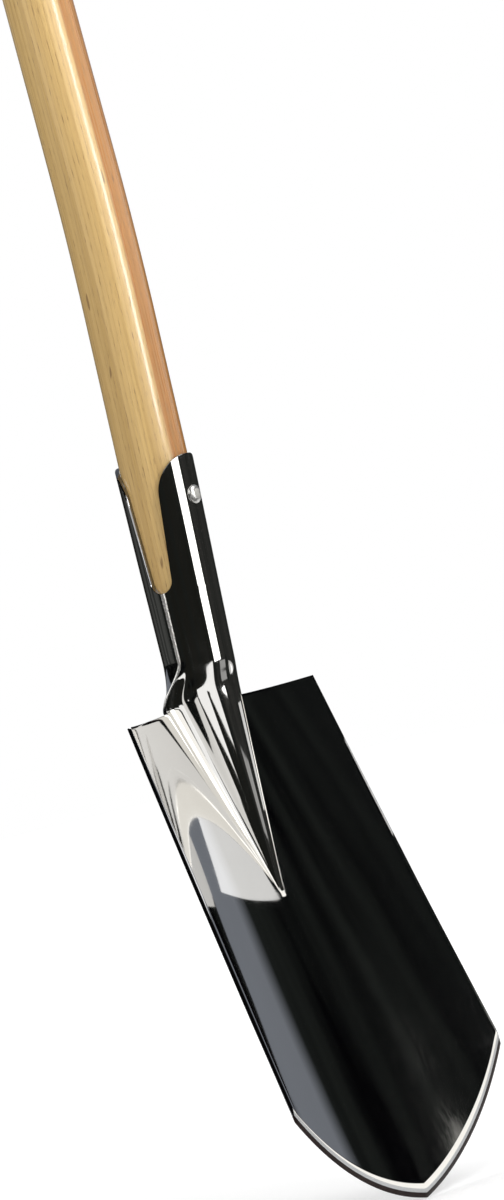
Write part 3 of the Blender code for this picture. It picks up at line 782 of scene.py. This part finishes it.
# T grip: a turned crosspiece of ash, a little thicker in the middle and rounded at the ends. It is
# bored through for the tenon, and the shaft's shoulder is let into its underside.
overrun = 0.0020
reach = grip_radius + overrun
grip_ash = ash_finish("grip_ash_oiled", (0.020, 0.030), (0.0, -1.0), 0.0105, 6.0)
grip_sizes = {"Length": 0.126, "Middle Radius": grip_radius, "End Radius": 0.0160, "Rounding": 0.0080,
              "Body Share": 0.75, "Rows": 140, "Sides": 96}
nodes, given, add, calc, ramp = rule_tree("turned_crosspiece", grip_sizes)
share = ramp(add("GeometryNodeInputIndex").outputs[0], 0.0, calc("SUBTRACT", given["Rows"], 1.0), -1.0, 1.0)
outward = calc("ABSOLUTE", share)
body_end = calc("SUBTRACT", calc("MULTIPLY", given["Length"], 0.5), given["Rounding"])
turn = ramp(outward, given["Body Share"], 1.0, 0.0, quarter)
on_body = ramp(outward, 0.0, given["Body Share"])
out = calc("ADD", calc("MULTIPLY", on_body, body_end),
           calc("MULTIPLY", given["Rounding"], calc("SINE", turn)))
slimmer = calc("SUBTRACT", given["Middle Radius"], given["End Radius"])
radius = calc("SUBTRACT", calc("SUBTRACT", given["Middle Radius"],
                               calc("MULTIPLY", slimmer, calc("MULTIPLY", on_body, on_body))),
              calc("MULTIPLY", given["Rounding"], calc("SUBTRACT", 1.0, calc("COSINE", turn))))
bar = lathe(add, "X", given["Rows"], calc("MULTIPLY", out, calc("SIGN", share)), radius, given["Sides"])
middle_y, middle_z, _ = bent(grip_centre)
bar = add("GeometryNodeTransform", {"Geometry": bar, "Translation": (0.0, middle_y, middle_z)})
grip = rule_piece("turned_grip", nodes, grip_sizes, bar.outputs[0], grip_ash)
_, _, lean = bent(shaft_rise)
upward = Vector((0.0, math.sin(lean), math.cos(lean)))
grip_middle = Vector((0.0, middle_y, middle_z))
under_grip = grip_middle - upward * reach
mortise = rod(under_grip, upward, reach * 2, tenon_radius + seat_gap)
housing = rod(under_grip, upward, overrun + grip_seat + seat_gap, shaft_sizes["Top Radius"] + seat_gap * 2)
carve(grip, mortise)
carve(grip, housing)
scrap(mortise, housing)
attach(grip, "root")
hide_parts("t_grip")

# Wedge: a thin hardwood wedge, driven into a saw cut across the top of the tenon so that it can't
# draw out. Tenon and wedge are then trimmed to the round of the grip.
wedge_depth, wedge_thick, wedge_toe = 0.0150, 0.0036, 0.0010


def wedge_body(gap, past):
    """The wedge, or with a gap and a run past the wood the saw cut for it."""
    middle_y, middle_z, _ = bent(tenon_top)
    top = Vector((0.0, middle_y, middle_z)) + socket_foot
    across = upward.cross(Vector((1, 0, 0))) * (tenon_radius + past)
    bm = bmesh.new()
    for level in (-wedge_depth - gap, past):
        half = Vector((mix(wedge_thick, wedge_toe, -level / wedge_depth) / 2 + gap, 0.0, 0.0))
        for corner in (-half - across, half - across, half + across, -half + across):
            bm.verts.new(top + upward * level + corner)
    bmesh.ops.convex_hull(bm, input=bm.verts)
    return built("wedge", bm)


wedge = wedge_body(0.0, 0.0)
kerf = wedge_body(seat_gap, overrun)
inside_tenon = rod(under_grip, upward, reach * 2, tenon_radius - seat_gap)
grip_side = grip_middle - Vector((reach, 0, 0))
round_top = rod(grip_side, (1, 0, 0), reach * 2, grip_radius + tenon_proud)
waste = rod(grip_middle, upward, reach * 2, tenon_radius + overrun)
carve(wedge, inside_tenon, "INTERSECT")
carve(waste, round_top)
carve(wedge, waste)
carve(shaft, kerf)
carve(shaft, waste)
wedge.name = "driven_wedge"
scrap(kerf, inside_tenon, round_top, waste)
wedge.data.materials.append(grainy_finish(
    "wedge_hardwood", ((0.10, 0.05, 0.022, 1), (0.34, 0.19, 0.09, 1)), gloss=(0.45, 0.70), scale=1800.0,
    detail=4.0, strength=0.5, depth=0.00008, metallic=0.0, drawn=(1.0, 1.0, 0.1)))
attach(wedge, "root")
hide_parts("grip_wedge")

# Pin: a hardwood dowel through grip and tenon, which keeps them from turning or lifting. Its hole is
# bored with the shaft in the grip, and its ends are cut off and sanded to the round of the grip.
pin_radius, pin_drop, pin_proud = 0.0030, 0.0060, 0.0001
middle_y, middle_z, _ = bent(grip_centre - pin_drop)
pin_start = Vector((0.0, middle_y - reach, middle_z))
pin = rod(pin_start, (0, 1, 0), reach * 2, pin_radius, sides=48)
bore = rod(pin_start, (0, 1, 0), reach * 2, pin_radius + seat_gap, sides=48)
grip_form = rod(grip_side, (1, 0, 0), reach * 2, grip_radius + pin_proud, sides=192)
carve(pin, grip_form, "INTERSECT")
carve(grip, bore)
carve(shaft, bore)
scrap(bore, grip_form)
pin.name = "grip_dowel"
pin.data.materials.append(grainy_finish(
    "dowel_wood", ((0.22, 0.12, 0.05, 1), (0.56, 0.38, 0.18, 1)), gloss=(0.45, 0.70), scale=2400.0,
    detail=4.0, strength=0.5, depth=0.00006, metallic=0.0, drawn=(1.0, 0.06, 1.0)))
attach(pin, "root")
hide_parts("grip_pin")

# Handle's finish: once the last hole is bored, the four wooden pieces are smoothed, and the ash's
# grain is laid lengthwise through shaft and grip.
for piece in (grip, shaft, wedge, pin):
    smooth(piece)
note_grain(shaft, lambda heights: bent(heights - socket_length)[0], True)
note_grain(grip, grip_middle, False)

# Floor: a wide pale table that the spade's point stands on, a hand's length from its front edge.
# The camera sees it white, with a faint shadow round the point. Polished steel sees it grey.
table_way, table_front, table_size, table_drop = math.radians(-32), 0.22, 5.0, 0.0005
shadow_reach, plain_reach = 0.3, 1.2
shadow_glow, plain_glow, mirrored_glow = 0.26, 0.63, 0.10
table_middle = table_front - table_size / 2
bpy.ops.mesh.primitive_plane_add(size=table_size, rotation=(0.0, 0.0, table_way), location=(
    math.sin(table_way) * table_middle, -math.cos(table_way) * table_middle, -table_drop))
floor = bpy.context.object
floor.name = "floor"
floor_paint, nodes, shade = new_material("floor_paint")
path = nodes.add("ShaderNodeLightPath").outputs
place = nodes.add("ShaderNodeTexCoord").outputs["Object"]
away = nodes.add("ShaderNodeVectorMath", {0: place, 1: (0.0, table_middle, 0.0)}, operation="DISTANCE")
plain = nodes.ramp(away.outputs["Value"], shadow_reach, plain_reach, shadow_glow, plain_glow)
mirrored = nodes.calc("MULTIPLY", path["Is Glossy Ray"], mirrored_glow)
shade("Base Color", (0.8, 0.8, 0.8, 1))
shade("Roughness", 0.9)
shade("Emission Color", (1, 1, 1, 1))
shade("Emission Strength", nodes.calc("MULTIPLY_ADD", path["Is Camera Ray"], plain, mirrored))
floor.data.materials.append(floor_paint)

# Room: white for the camera on every side. Polished steel sees the grey end of the sweep behind the
# spade, a lit wall in front of it that stands on the horizon, and a dark studio with a faint haze.
world = bpy.data.worlds.new("room")
bpy.context.scene.world = world
world.use_nodes = True
nodes = Nodes(world.node_tree)
calc, blend = nodes.calc, nodes.blend
look = nodes.add("ShaderNodeTexCoord").outputs["Generated"]
look_x, look_y, look_z = nodes.add("ShaderNodeSeparateXYZ", {"Vector": look}).outputs
level_part = calc("SQRT", calc("ADD", calc("MULTIPLY", look_x, look_x), calc("MULTIPLY", look_y, look_y)))
level_part = calc("MAXIMUM", level_part, 0.0001)


def step_up(value, place, soft):
    """0 below a place and 1 above it, over a soft edge. A negative softness turns it round."""
    return nodes.ramp(value, place - soft, place + soft)


def within(half, azimuth, soft=0.03):
    """1 for a look within half an angle of an azimuth, over an edge that is soft in its cosine."""
    a = math.radians(azimuth)
    forward = calc("SUBTRACT", calc("MULTIPLY", look_x, math.sin(a)), calc("MULTIPLY", look_y, math.cos(a)))
    return step_up(calc("DIVIDE", forward, level_part), math.cos(math.radians(half)), soft)


def where_all(share, *others):
    """1 only where every share is 1."""
    for other in others:
        share = calc("MULTIPLY", share, other)
    return share


# The wall's top is level, and slants down towards its right end.
wall_slant = (0.0224, 0.3378, 0.9410)
over_slant = nodes.add("ShaderNodeVectorMath", {0: look, 1: wall_slant}, operation="DOT_PRODUCT")
wall = where_all(within(61, 18), step_up(look_z, -0.004, 0.005), step_up(look_z, 0.233, -0.008),
                 step_up(over_slant.outputs["Value"], 0.0, -0.006))
sweep = where_all(within(45.2, 122.4), step_up(look_z, 0.045, 0.010))
studio = blend(within(31.79, 0, soft=0.10), (0.0015, 0.0015, 0.002, 1), (0.008, 0.009, 0.009, 1))
below = blend(within(63.26, 60, soft=0.15), (0.012, 0.012, 0.010, 1), (0.034, 0.034, 0.032, 1))
below = blend(within(31.79, -170, soft=0.08), below, (0.070, 0.072, 0.070, 1))
haze = step_up(nodes.speckle(look, 7.0, 2.0), 0.56, 0.12)
seen = blend(step_up(look_z, 0.0, -0.015), studio, below)
seen = blend(haze, seen, (0.012, 0.014, 0.013, 1))
seen = blend(sweep, seen, (0.19, 0.205, 0.235, 1))
seen = blend(wall, seen, (1.32, 1.30, 1.25, 1))
path = nodes.add("ShaderNodeLightPath").outputs
mirrored = calc("MAXIMUM", path["Is Glossy Ray"], path["Is Transmission Ray"])
seen = blend(mirrored, (0.54, 0.54, 0.54, 1), seen)
seen = blend(path["Is Camera Ray"], seen, (1, 1, 1, 1))
nodes.put(world.node_tree.nodes["Background"], "Color", seen)


# Lamps: a soft key from the left and a fill from the right, narrow windows that draw the bright line
# down socket and wood, and low cards that lighten the ridge and the left half of the blade.
def softbox(name, azimuth, distance, width, heights, level, elevation=0, target=(0.0, 0.0)):
    """A lit panel between two heights, at an azimuth and distance round a target, facing it.

    The level is how bright its face is, where 1 is white. An elevation lifts the panel and tips it.
    """
    low, high = heights
    data = bpy.data.lights.new(name, "AREA")
    data.shape = "RECTANGLE"
    data.size = width
    data.size_y = high - low
    data.energy = level * math.pi * data.size * data.size_y
    lamp = linked(name, data)
    a, e = math.radians(azimuth), math.radians(elevation)
    way = Vector((math.sin(a) * math.cos(e), -math.cos(a) * math.cos(e), math.sin(e)))
    lamp.location = Vector((*target, (low + high) / 2)) + way * distance
    lamp.rotation_euler = way.to_track_quat("Z", "Y").to_euler()


softbox("key", azimuth=-110, elevation=35, distance=2.6, width=1.6, heights=(-0.4, 1.2), level=3.9)
softbox("fill", azimuth=25, elevation=52, distance=2.6, width=1.6, heights=(-0.4, 1.2), level=2.8)
softbox("socket_window", azimuth=4.5, distance=0.3, width=0.135, heights=(0.281, 0.425), level=2.6)
softbox("shaft_window", azimuth=-9, distance=0.3, width=0.045, heights=(0.445, 1.02), level=14.0)
softbox("side_card", azimuth=73, distance=0.19, width=0.065, heights=(0.218, 0.281), level=0.85,
        target=(-0.00467, -0.0153))
softbox("left_card", azimuth=-65, distance=0.7, width=0.43, heights=(0.135, 0.252), level=1.2)
softbox("front_card", azimuth=-31, distance=0.7, width=0.43, heights=(0.205, 0.252), level=1.2)
softbox("right_card", azimuth=24, distance=0.7, width=0.28, heights=(0.18, 0.23), level=0.38)

# Camera: level with the tops of the straps, 58 degrees round to the left of the blade's hollow face,
# and rolled 13 degrees, so that the spade leans across the frame.
camera_data = bpy.data.cameras.new("camera")
camera_data.sensor_fit = "VERTICAL"
camera_data.sensor_height = 24.0
camera_data.lens = 149.788
camera = linked("camera", camera_data)
camera_right = Vector((0.51810345, -0.8257836, -0.22282338))
camera_up = Vector((0.1385069, -0.17607417, 0.97458387))
camera_back = Vector((-0.84402882, -0.53579784, 0.02315209))
turn = Matrix((camera_right, camera_up, camera_back)).transposed()
camera.matrix_world = Matrix.Translation((-3.45835, -2.22621, 0.4343)) @ turn.to_4x4()
bpy.context.scene.camera = camera

scene = bpy.context.scene
scene.view_settings.view_transform = "Standard"
